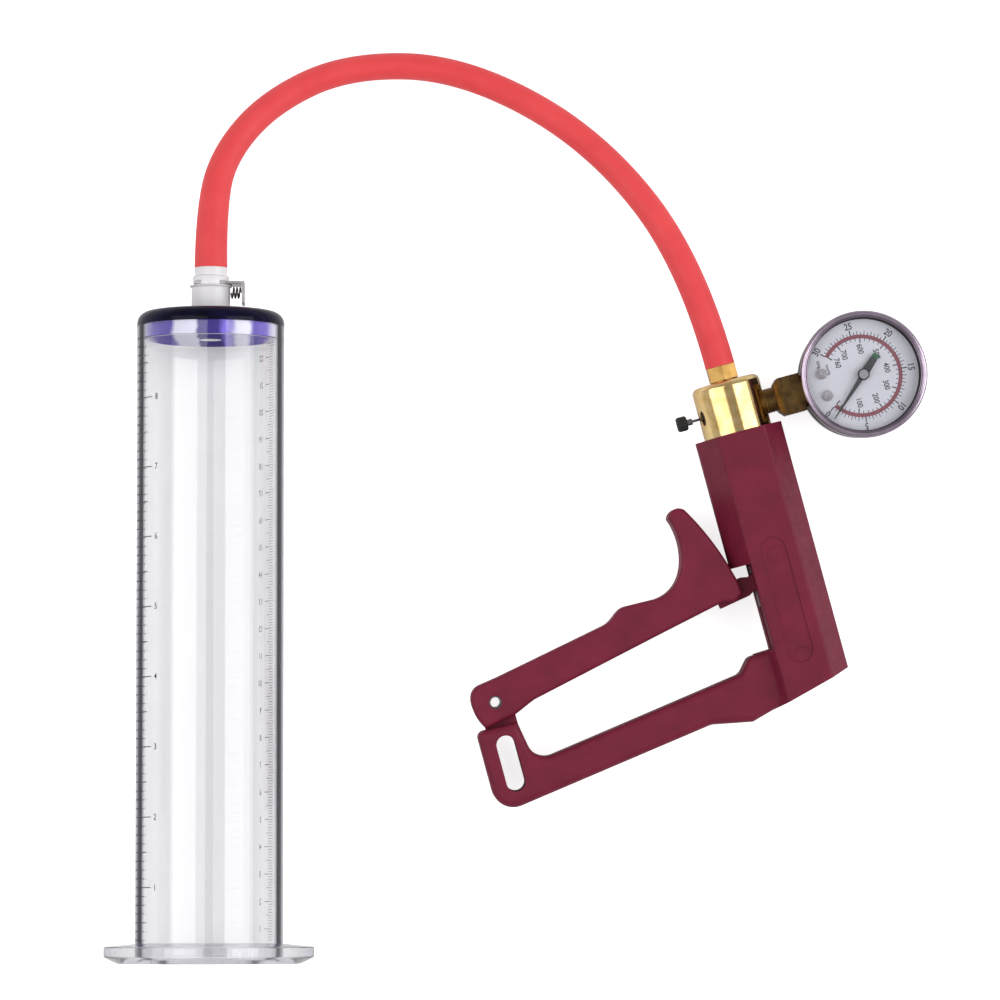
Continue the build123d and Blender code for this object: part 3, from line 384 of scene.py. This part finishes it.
def hose_rubber():
    """Red rubber with faint runs along its length and a dusty bloom."""
    g = Graph("hose_rubber")
    fine = g.noise(0.25, 2.0)
    broad = g.noise(22.0, 3.0)
    base = g.ramp(broad, (0.3, (0.86, 0.060, 0.068)), (0.7, (0.96, 0.085, 0.090)))
    base = g.blend(g.span(fine, 0.4, 0.8, 0.0, 0.3), base, (0.74, 0.045, 0.05))
    roughness = g.span(g.noise(5.0, 4.0), 0.3, 0.7, 0.46, 0.62)
    g.surface(base, roughness, g.bump(fine, 0.012, 0.5), Specular_IOR_Level=0.35, Sheen_Weight=0.08)
    return g.material


def cap_acrylic():
    """Near-black violet acrylic, polished, with faint swirls inside."""
    g = Graph("cap_acrylic")
    base = g.ramp(g.noise(8.0, 4.0), (0.3, (0.002, 0.0015, 0.010)), (0.75, (0.007, 0.005, 0.035)))
    roughness = g.span(g.noise(2.0, 5.0), 0.5, 0.8, 0.10, 0.20)
    g.surface(base, roughness, g.rounded(0.3), Specular_IOR_Level=0.12)
    return g.material


def plug_cement():
    """Violet cement on the plug. The light bands across it are painted reflections of the lamps, set
    where the tube shows their streaks.
    """
    g = Graph("violet_cement")
    split = g.add("ShaderNodeSeparateXYZ")
    g.link(g.local(CYL), split.inputs["Vector"])
    wobble = g.span(g.noise(6.0, 4.0), 0.2, 0.8, -1.0, 1.0)
    across = g.span(g.math("ADD", split.outputs["X"], wobble), -24.0, 24.0, 0.0, 1.0)
    violet, painted_streak, deep = (0.16, 0.12, 0.52), (0.72, 0.71, 0.86), (0.045, 0.03, 0.26)
    # Painted reflections: the light stops of this ramp, across the plug from side to side.
    base = g.ramp(
        across,
        (0.00, painted_streak),
        (0.09, violet),
        (0.22, scaled(violet, 0.9)),
        (0.25, painted_streak),
        (0.40, scaled(painted_streak, 1.1)),
        (0.42, deep),
        (0.58, deep),
        (0.62, scaled(violet, 1.6)),
        (0.67, violet),
        (0.70, painted_streak),
        (0.78, scaled(painted_streak, 1.1)),
        (0.81, violet),
        (0.90, scaled(violet, 1.2)),
        (0.96, painted_streak),
    )
    roughness = g.span(g.noise(3.0, 4.0), 0.3, 0.7, 0.6, 0.8)
    g.surface(base, roughness, g.bump(g.noise(1.5, 3.0), 0.03, 0.5), Specular_IOR_Level=0.0)
    return g.material


def pointer_paint():
    """Black paint on the pointer, with a green dab on its tail."""
    g = Graph("pointer_paint")
    turn = LEAN + POINTER_REST
    pointer = axes(GAUGE.translation / MM, (cos(turn), sin(turn), 0), (-sin(turn), cos(turn), 0))
    split = g.add("ShaderNodeSeparateXYZ")
    g.link(g.local(pointer), split.inputs["Vector"])
    wobble = g.span(g.noise(0.8, 4.0), 0.2, 0.8, -0.7, 0.7)
    along = g.span(g.math("ADD", split.outputs["X"], wobble), -9.5, -5.0, 0.0, 1.0)
    base = g.ramp(along, (0.3, (0.015, 0.10, 0.045)), (0.6, (0.02, 0.022, 0.025)))
    roughness = g.span(g.noise(0.6, 3.0), 0.3, 0.7, 0.35, 0.55)
    g.surface(base, roughness, g.bump(g.noise(0.3, 2.0), 0.01, 0.5, g.rounded(0.1)))
    return g.material


GRADED_REACH = 20.0


def graded(name, measure, rough, *stops):
    """Plated metal. Its colour changes over 20 mm of height or radius in the gauge's frame; on the
    bezel the darker side is painted shade.
    """
    g = Graph(name)
    split = g.add("ShaderNodeSeparateXYZ")
    g.link(g.local(GAUGE), split.inputs["Vector"])
    value = split.outputs["Z"]
    if measure == "radius":
        squares = [g.math("POWER", split.outputs[axis], 2.0) for axis in ("X", "Y")]
        value = g.math("SQRT", g.math("ADD", *squares))
    base = g.ramp(g.span(value, 0.0, GRADED_REACH, 0.0, 1.0), *stops)
    streaks = g.noise(6.0, 3.0)
    base = g.blend(g.span(streaks, 0.35, 0.7, 0.0, 0.35), base, (0.30, 0.22, 0.30), "MULTIPLY")
    roughness = g.span(g.noise(2.5, 3.0), 0.3, 0.7, rough, rough * 1.6)
    g.surface(base, roughness, g.rounded(0.12), Metallic=1.0)
    return g.material


# Painted shade: the bezel is dark up its side to 12.7 mm and light plate from 13.3 mm over its top.
bezel_plate_painted_shade = graded(
    "bezel_plate_painted_shade", "height", 0.09, (0.635, (0.10, 0.06, 0.10)), (0.665, (0.56, 0.47, 0.57))
)
hub_plate = graded(
    "hub_plate", "radius", 0.12, (0.080, (0.78, 0.76, 0.78)), (0.092, (0.03, 0.03, 0.03))
)
hose_curve.materials.append(hose_rubber())

FINISHES = {
    "cylinder_cap": cap_acrylic(),
    "cap_plug": plug_cement(),
    "coupling_body": white_acetal,
    "coupling_gasket": black_rubber,
    "coupling_latch": stainless,
    "latch_spring": spring_steel,
    "coupling_insert": white_acetal,
    "insert_seal_ring": black_rubber,
    "brass_head": brass,
    "head_gasket": black_rubber,
    "valve_seat": inner_plastic,
    "inlet_valve": black_rubber,
    "barb_gasket": worked_brass,
    "hose_barb": worked_brass,
    "release_spring": spring_steel,
    "release_pin": spring_steel,
    "release_seal": black_rubber,
    "casing": casing_plastic,
    "barrel_liner": inner_plastic,
    "rod_guide": inner_plastic,
    "return_spring": spring_steel,
    "pivot_pin": spring_steel,
    "piston": inner_plastic,
    "piston_seal": black_rubber,
    "piston_screw": stainless,
    "piston_rod": inner_plastic,
    "lever": lever_plastic,
    "gauge_socket": dark_brass,
    "gauge_case": case_metal,
    "gauge_lens": lens_clear,
    "gauge_dial": dial_paint,
    "dial_screws": screw_nickel,
    "gauge_pointer": pointer_paint(),
    "pointer_hub": hub_plate,
    "bourdon_tube": worked_brass,
    "movement_frame": worked_brass,
    "pinion_shaft": worked_brass,
    "sector_gear": worked_brass,
}
for node_name, finish in FINISHES.items():
    node_mesh = NODES[node_name].data
    node_mesh.materials.clear()
    node_mesh.materials.append(finish)

# ---- mesh helpers ------------------------------------------------------------


def piece(name, body, place, points, faces, finish, sharp=35.0):
    """A mesh piece from points in mm in a local frame, riding on a body."""
    mesh = bpy.data.meshes.new(name)
    mesh.from_pydata([place @ (Vector(point) * MM) for point in points], [], faces)
    mesh.materials.append(finish)
    mesh.shade_smooth()
    mesh.set_sharp_from_angle(angle=radians(sharp))
    obj = bpy.data.objects.new(name, mesh)
    bpy.context.scene.collection.objects.link(obj)
    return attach(obj, body)


# How far past its arc a corner's flat is held flat, as a share of the arc's reach.
GUARD = 1.2


def softened(outline, radius):
    """An outline with each corner turned into a short arc, the flats beside it kept flat."""
    points = []
    count = len(outline)
    for number, corner in enumerate(outline):
        here = Vector(corner)
        before = Vector(outline[number - 1]) - here
        after = Vector(outline[(number + 1) % count]) - here
        reach = min(radius, 0.4 * before.length, 0.4 * after.length)
        start, end = here + before.normalized() * reach, here + after.normalized() * reach
        points.append(here + (start - here) * GUARD)
        for step in range(4):
            share = step / 3
            points.append(start * (1 - share) ** 2 + here * 2 * share * (1 - share) + end * share**2)
        points.append(here + (end - here) * GUARD)
    return points


def turned(name, body, place, outline, finish, sections=160, upright=False, sharp=35.0):
    """Turns a closed (radius, height) outline about the frame's y, or z if upright."""
    points, faces = [], []
    count = len(outline)
    for section in range(sections):
        angle = 2 * pi * section / sections
        for radius, height in outline:
            if upright:
                points.append((radius * cos(angle), radius * sin(angle), height))
            else:
                points.append((radius * sin(angle), height, radius * cos(angle)))
    for section in range(sections):
        after = (section + 1) % sections
        for number in range(count):
            other = (number + 1) % count
            corners = (
                section * count + number,
                section * count + other,
                after * count + other,
                after * count + number,
            )
            faces.append(corners if upright else corners[::-1])
    obj = piece(name, body, place, points, faces, finish, sharp)
    return outward(obj)


def outward(obj):
    """Turns a closed mesh's faces outwards."""
    mesh = obj.data
    volume = 0.0
    for face in mesh.polygons:
        corners = [mesh.vertices[index].co for index in face.vertices]
        for second, third in zip(corners[1:], corners[2:]):
            volume += corners[0].dot(second.cross(third))
    if volume < 0:
        mesh.flip_normals()
    return obj


def fluted(name, body, place, shape, heights, finish, sections=96, sharp=35.0):
    """A closed bar about the frame's y axis. shape gives its radius at (angle, height)."""
    points, faces = [], []
    for height in heights:
        for section in range(sections):
            angle = 2 * pi * section / sections
            radius = shape(angle, height)
            points.append((radius * sin(angle), height, radius * cos(angle)))
    for row in range(len(heights) - 1):
        for section in range(sections):
            after = (section + 1) % sections
            low, high = row * sections, (row + 1) * sections
            faces.append((low + section, low + after, high + after, high + section))
    faces.append(tuple(reversed(range(sections))))
    faces.append(tuple(range((len(heights) - 1) * sections, len(heights) * sections)))
    return outward(piece(name, body, place, points, faces, finish, sharp))


class Print:
    """Ink on a surface: thin closed strips and figures, gathered into one mesh."""

    THICK = 0.03
    FONT_SIZE = 1.38

    def __init__(self):
        self.points, self.faces = [], []

    def plate(self, rows):
        """A thin plate on a strip of (left point, right point) pairs."""
        start = len(self.points)
        for left, right in rows:
            for u, v in (left, right):
                self.points += [(u, v, 0.0), (u, v, self.THICK)]
        count = len(rows)
        for row in range(count - 1):
            a, b = start + row * 4, start + row * 4 + 4
            self.faces += [
                (a + 1, a + 3, b + 3, b + 1),
                (a, b, b + 2, a + 2),
                (a, a + 1, b + 1, b),
                (a + 2, b + 2, b + 3, a + 3),
            ]
        last = start + (count - 1) * 4
        self.faces += [(start, start + 2, start + 3, start + 1)]
        self.faces += [(last, last + 1, last + 3, last + 2)]

    def line(self, start, end, width, steps=1):
        """A straight tick between two points."""
        a, b = Vector(start), Vector(end)
        across = Vector((a.y - b.y, b.x - a.x)).normalized() * width / 2
        rows = []
        for step in range(steps + 1):
            middle = a.lerp(b, step / steps)
            rows.append((tuple(middle + across), tuple(middle - across)))
        self.plate(rows)

    def arc(self, radius, width, start, end, steps=120):
        """A band round the frame's origin, between angles in radians."""
        rows = []
        for step in range(steps + 1):
            angle = start + (end - start) * step / steps
            way = Vector((cos(angle), sin(angle)))
            rows.append((tuple(way * (radius + width / 2)), tuple(way * (radius - width / 2))))
        self.plate(rows)

    def figures(self, text, size, place, turn=0.0, narrow=0.86, bold=0.022):
        """Figures about size mm high, centred on a point and turned by radians."""
        curve = bpy.data.curves.new("figures", "FONT")
        curve.body = text
        curve.size = size * self.FONT_SIZE
        curve.align_x, curve.align_y = "CENTER", "CENTER"
        curve.extrude = self.THICK / 2
        curve.offset = size * bold
        curve.resolution_u = 3
        holder = bpy.data.objects.new("figures", curve)
        bpy.context.scene.collection.objects.link(holder)
        bpy.context.view_layer.update()
        mesh = bpy.data.meshes.new_from_object(holder)
        bpy.data.objects.remove(holder)
        heights = [v.co.y for v in mesh.vertices]
        middle_v = (max(heights) + min(heights)) / 2
        start = len(self.points)
        for vertex in mesh.vertices:
            u = vertex.co.x * narrow
            v = vertex.co.y - middle_v
            self.points.append(
                (
                    place[0] + u * cos(turn) - v * sin(turn),
                    place[1] + u * sin(turn) + v * cos(turn),
                    vertex.co.z + self.THICK / 2,
                )
            )
        for face in mesh.polygons:
            self.faces.append(tuple(start + index for index in face.vertices))
        bpy.data.meshes.remove(mesh)

    def lay(self, name, body, place, finish, wrap=None):
        """Makes the piece. wrap turns (u, v, height) into the frame's own x, y, z."""
        points = self.points if wrap is None else [wrap(*point) for point in self.points]
        return piece(name, body, place, points, self.faces, finish)


# ---- clear cylinder ----------------------------------------------------------

# Clear surfaces stand back this far where the tube meets the flange and the cap.
GAP = 0.03
# Faces whose middle is nearer the axis than this are the tube's bore.
BORE_FACES_R = 25.5

tube_outline = softened(
    [
        (BORE_R, 0.0),
        (TUBE_R - GAP, 0.0),
        (TUBE_R - GAP, TUBE_LENGTH - GAP),
        (PLUG_SEAT_R, TUBE_LENGTH - GAP),
        (PLUG_SEAT_R, TUBE_LENGTH - PLUG_T),
        (BORE_R, TUBE_LENGTH - PLUG_T),
    ],
    0.3,
)
clear_tube = turned("clear_tube", "cylinder", CYL, tube_outline, tube_acrylic, 200)
clear_tube.data.materials.append(bore_acrylic)
TO_CYL = CYL.inverted()
for face in clear_tube.data.polygons:
    middle = TO_CYL @ face.center / MM
    if middle.x**2 + middle.z**2 < BORE_FACES_R**2:
        face.material_index = 1
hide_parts("cylinder_tube")

flange_outline = softened(
    [
        (TUBE_R + GAP, 0.0),
        (FLANGE_R - BEVEL_R, 0.0),
        (FLANGE_R, BEVEL_H),
        (FLANGE_R, FLANGE_RIM),
        (TUBE_R + GAP, FLANGE_CROWN),
    ],
    0.4,
)
clear_flange = turned("clear_flange", "cylinder", CYL, flange_outline, flange_acrylic, 200)
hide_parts("cylinder_flange")


def on_tube(u, v, height):
    """Wraps print round the tube: u mm round it from its top line, v along it."""
    radius = TUBE_R + height
    angle = u / TUBE_R
    return (radius * sin(angle), v, radius * cos(angle))


def around(angle):
    """The way round the tube, in mm, to an angle in degrees from its top line."""
    return radians(angle) * TUBE_R


# Heights of the scales' zeros, and the angles where their ticks start and their figures stand.
INCH_ZERO, CM_ZERO = 2.2, 2.6
INCH_TICKS, INCH_FIGURES = -80.0, -44.8
CM_TICKS, CM_FIGURES = 101.0, 130.5
THIN = {"narrow": 0.9, "bold": 0.006}

inches = Print()
for eighth in range(2, 72):
    height = INCH_ZERO + eighth * INCH / 8
    if eighth % 8 == 0:
        reach, width = -50.0, 0.32
        inches.figures(str(eighth // 8), 2.4, (around(INCH_FIGURES), height), **THIN)
    elif eighth % 4 == 0:
        reach, width = -55.5, 0.32
    else:
        reach, width = -65.7, 0.42
    inches.line((around(INCH_TICKS), height), (around(reach), height), width, 5)
inches.lay("inch_scale", "cylinder", CYL, scale_ink, on_tube)

centimetres = Print()
for tick in range(6, 229):
    height = CM_ZERO + tick
    if tick % 10 == 0:
        reach, width = 123.4, 0.28
        centimetres.figures(str(tick // 10), 2.3, (around(CM_FIGURES), height), **THIN)
    elif tick % 5 == 0:
        reach, width = 119.5, 0.26
    else:
        reach, width = 115.1, 0.26
    centimetres.line((around(CM_TICKS), height), (around(reach), height), width, 4)
centimetres.lay("centimetre_scale", "cylinder", CYL, pale_ink, on_tube)

# ---- gauge -------------------------------------------------------------------

bezel_outline = [
    (CASE_R + 0.05, BEZEL_FOOT),
    (BEZEL_R - 0.12, BEZEL_FOOT),
    (BEZEL_R, 7.4),
    (BEZEL_R, 12.4),
    (BEZEL_R - 0.08, 12.85),
    (BEZEL_R - 0.3, 13.2),
    (BEZEL_R - 0.65, 13.42),
    (BEZEL_R - 0.95, BEZEL_TOP),
    (BEZEL_R - 1.2, 13.38),
    (BEZEL_R - 1.45, 13.12),
    (BEZEL_R - 1.7, 12.98),
    (BEZEL_R - 1.95, 12.96),
    (BEZEL_R - 2.15, 13.02),
    (BEZEL_R - 2.35, 12.98),
    (BEZEL_R - 2.45, 12.88),
    (CASE_R + 0.05, 12.86),
]
bezel = turned("gauge_bezel_ring", "pump", GAUGE, bezel_outline, bezel_plate_painted_shade, 160, True, 60.0)
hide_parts("gauge_bezel")

# The dial reads inches of mercury outside its band and millimetres inside.
ZERO, PER_INCH = radians(229.0), radians(9.45)
BAND_R, BAND_W = 14.5, 1.45
BAND_IN, BAND_OUT = BAND_R - BAND_W / 2, BAND_R + BAND_W / 2
MINOR, MAJOR = 0.27, 0.42
# The print lies a little off the hub, to the left and down.
PRINT_PLACE = (-0.7, -0.45, DIAL_TOP + 0.01)
DIAL = axes((GAUGE.translation / MM) + Vector(PRINT_PLACE), (1, 0, 0), (0, 1, 0))


def at(radius, angle):
    """A point on the dial."""
    return (radius * cos(angle), radius * sin(angle))


band, marks = Print(), Print()
band.arc(BAND_R, BAND_W, ZERO, ZERO + 30 * PER_INCH)
for step in range(61):
    angle = ZERO + step / 2 * PER_INCH
    if step % 10:
        outer = BAND_OUT + (1.4 if step % 2 == 0 else 0.9)
        marks.line(at(BAND_OUT, angle), at(outer, angle), MINOR)
for step in range(39):
    angle = ZERO + step * 20 / INCH * PER_INCH
    if step % 5:
        marks.line(at(BAND_IN, angle), at(BAND_IN - 0.9, angle), MINOR)
band.lay("dial_band", "pump", DIAL, band_ink)

for inch in range(0, 31, 5):
    angle = ZERO + inch * PER_INCH
    marks.line(at(BAND_OUT - 0.1, angle), at(17.2, angle), MAJOR)
    marks.figures(str(inch), 2.5, at(18.7, angle), angle - pi / 2, 0.84)
for hundred in (0, 100, 200, 300, 400, 500, 600, 700, 760):
    angle = ZERO + hundred / INCH * PER_INCH
    marks.line(at(BAND_IN + 0.1, angle), at(12.1, angle), MAJOR)
    if hundred:
        marks.figures(str(hundred), 2.1, at(9.9, angle), LEAN - pi / 2, 0.86)
marks.figures("inHg", 1.25, at(16.4, radians(166)), LEAN - pi / 2)
marks.figures("mmHg", 1.25, at(12.6, radians(170)), LEAN - pi / 2)
marks.lay("dial_figures", "pump", DIAL, black_ink)

# The gauge stem's thread: its pitch, the radius of its roots, its depth and its near end.
PITCH, ROOT_R, THREAD_DEPTH, STEM_START = 0.95, 4.28, 0.42, 12.2


def stem_profile(angle, height):
    """The gauge stem's thread between the head and the wrench block."""
    turn = (height / PITCH - angle / (2 * pi)) % 1.0
    return ROOT_R + THREAD_DEPTH * (1 - abs(2 * turn - 1))


thread_heights = [STEM_START + PITCH / 10 * step for step in range(48)]
fluted("stem_thread", "pump", PORT, stem_profile, thread_heights, dark_brass, 72, 80.0)

# ---- release knob ------------------------------------------------------------

KNOB_LOW, KNOB_HIGH, KNOB_R = -21.2, -17.2, 2.8
KNOB_BEVEL, FLUTE_DEPTH = 0.6, 0.32


def knob_profile(angle, height):
    """A knurled cap, bevelled at both ends."""
    end = min(height - KNOB_LOW, KNOB_HIGH - height)
    bevel = KNOB_BEVEL * max(0.0, 1 - end / KNOB_BEVEL)
    flute = FLUTE_DEPTH * abs(sin(6 * angle)) ** 0.6
    return KNOB_R - FLUTE_DEPTH + flute - bevel


knob_heights = [KNOB_LOW + step for step in (0.0, 0.2, 0.6, 1.2, 2.0, 2.8, 3.4, 3.8, 4.0)]
knob = fluted("release_knob_cap", "release", PORT, knob_profile, knob_heights, black_plastic, 144, 50.0)
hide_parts("release_knob")

# Two faint round marks that the mould left on the casing's panel.
for mark_q in (-47.0, -85.0):
    place = shifted(PUMP, 0.6, mark_q, PANEL_Z)
    outline = [(2.6, -0.05), (3.3, -0.05), (3.25, 0.05), (2.95, 0.09), (2.65, 0.05)]
    turned(f"mould_mark{abs(int(mark_q))}", "pump", place, outline, casing_plastic, 64, True)

# ---- floor, light and colour -------------------------------------------------

# The floor's half width and height, in metres, and its own light: to the eye and to all else.
FLOOR, FLOOR_Z = 6, -0.0002
GLOW_SEEN, GLOW_ELSE = 0.75, 0.04

floor_mesh = bpy.data.meshes.new("floor")
floor_corners = [(x * FLOOR, y * FLOOR, FLOOR_Z) for x, y in ((-1, -1), (1, -1), (1, 1), (-1, 1))]
floor_mesh.from_pydata(floor_corners, [], [(0, 1, 2, 3)])
floor_graph = Graph("floor")
floor_tone = floor_graph.ramp(
    floor_graph.noise(400.0, 2.0), (0.3, (0.90, 0.90, 0.90)), (0.7, (0.92, 0.92, 0.92))
)
floor_node = floor_graph.surface(
    floor_tone, 0.9, Specular_IOR_Level=0.1, Emission_Color=(1, 1, 1, 1)
)
seen = floor_graph.add("ShaderNodeLightPath").outputs["Is Camera Ray"]
glow = floor_graph.span(seen, 0, 1, GLOW_ELSE, GLOW_SEEN)
floor_graph.link(glow, floor_node.inputs["Emission Strength"])
floor_mesh.materials.append(floor_graph.material)
floor = bpy.data.objects.new("floor", floor_mesh)
bpy.context.scene.collection.objects.link(floor)


def softbox(name, place, target, width, height, watts):
    """A rectangular studio light. Its places and sizes are in metres."""
    data = bpy.data.lights.new(name, "AREA")
    data.shape = "RECTANGLE"
    data.size, data.size_y = width, height
    data.energy = watts
    lamp = bpy.data.objects.new(name, data)
    bpy.context.scene.collection.objects.link(lamp)
    lamp.location = place
    lamp.rotation_euler = (Vector(target) - Vector(place)).to_track_quat("-Z", "Y").to_euler()
    lamp.visible_camera = False


softbox("left_box", (-0.75, 0.10, 1.05), (0, 0.03, 0), 0.85, 1.3, 5.5)
softbox("right_box", (1.05, 0.10, 1.00), (0.03, 0.03, 0), 0.95, 1.3, 9.5)

WORLD_STRENGTH = 0.9

world = bpy.data.worlds.new("studio")
bpy.context.scene.world = world
world.use_nodes = True
tree = world.node_tree
tree.nodes.clear()
sky = tree.nodes.new("ShaderNodeBackground")
out = tree.nodes.new("ShaderNodeOutputWorld")
coord = tree.nodes.new("ShaderNodeTexCoord")
height = tree.nodes.new("ShaderNodeSeparateXYZ")
tone = tree.nodes.new("ShaderNodeValToRGB")
tone.color_ramp.elements.new(0.35)
# The studio is lighter low down than overhead.
WORLD_TONES = [(0.0, 0.75, 0.76), (0.35, 0.55, 0.56), (0.9, 0.42, 0.43)]
for element, (position, grey, blue) in zip(tone.color_ramp.elements, WORLD_TONES):
    element.position = position
    element.color = (grey, grey, blue, 1)
tree.links.new(coord.outputs["Generated"], height.inputs["Vector"])
tree.links.new(height.outputs["Z"], tone.inputs["Fac"])
tree.links.new(tone.outputs["Color"], sky.inputs["Color"])
tree.links.new(sky.outputs["Background"], out.inputs["Surface"])
sky.inputs["Strength"].default_value = WORLD_STRENGTH

bpy.context.scene.view_settings.view_transform = "Standard"
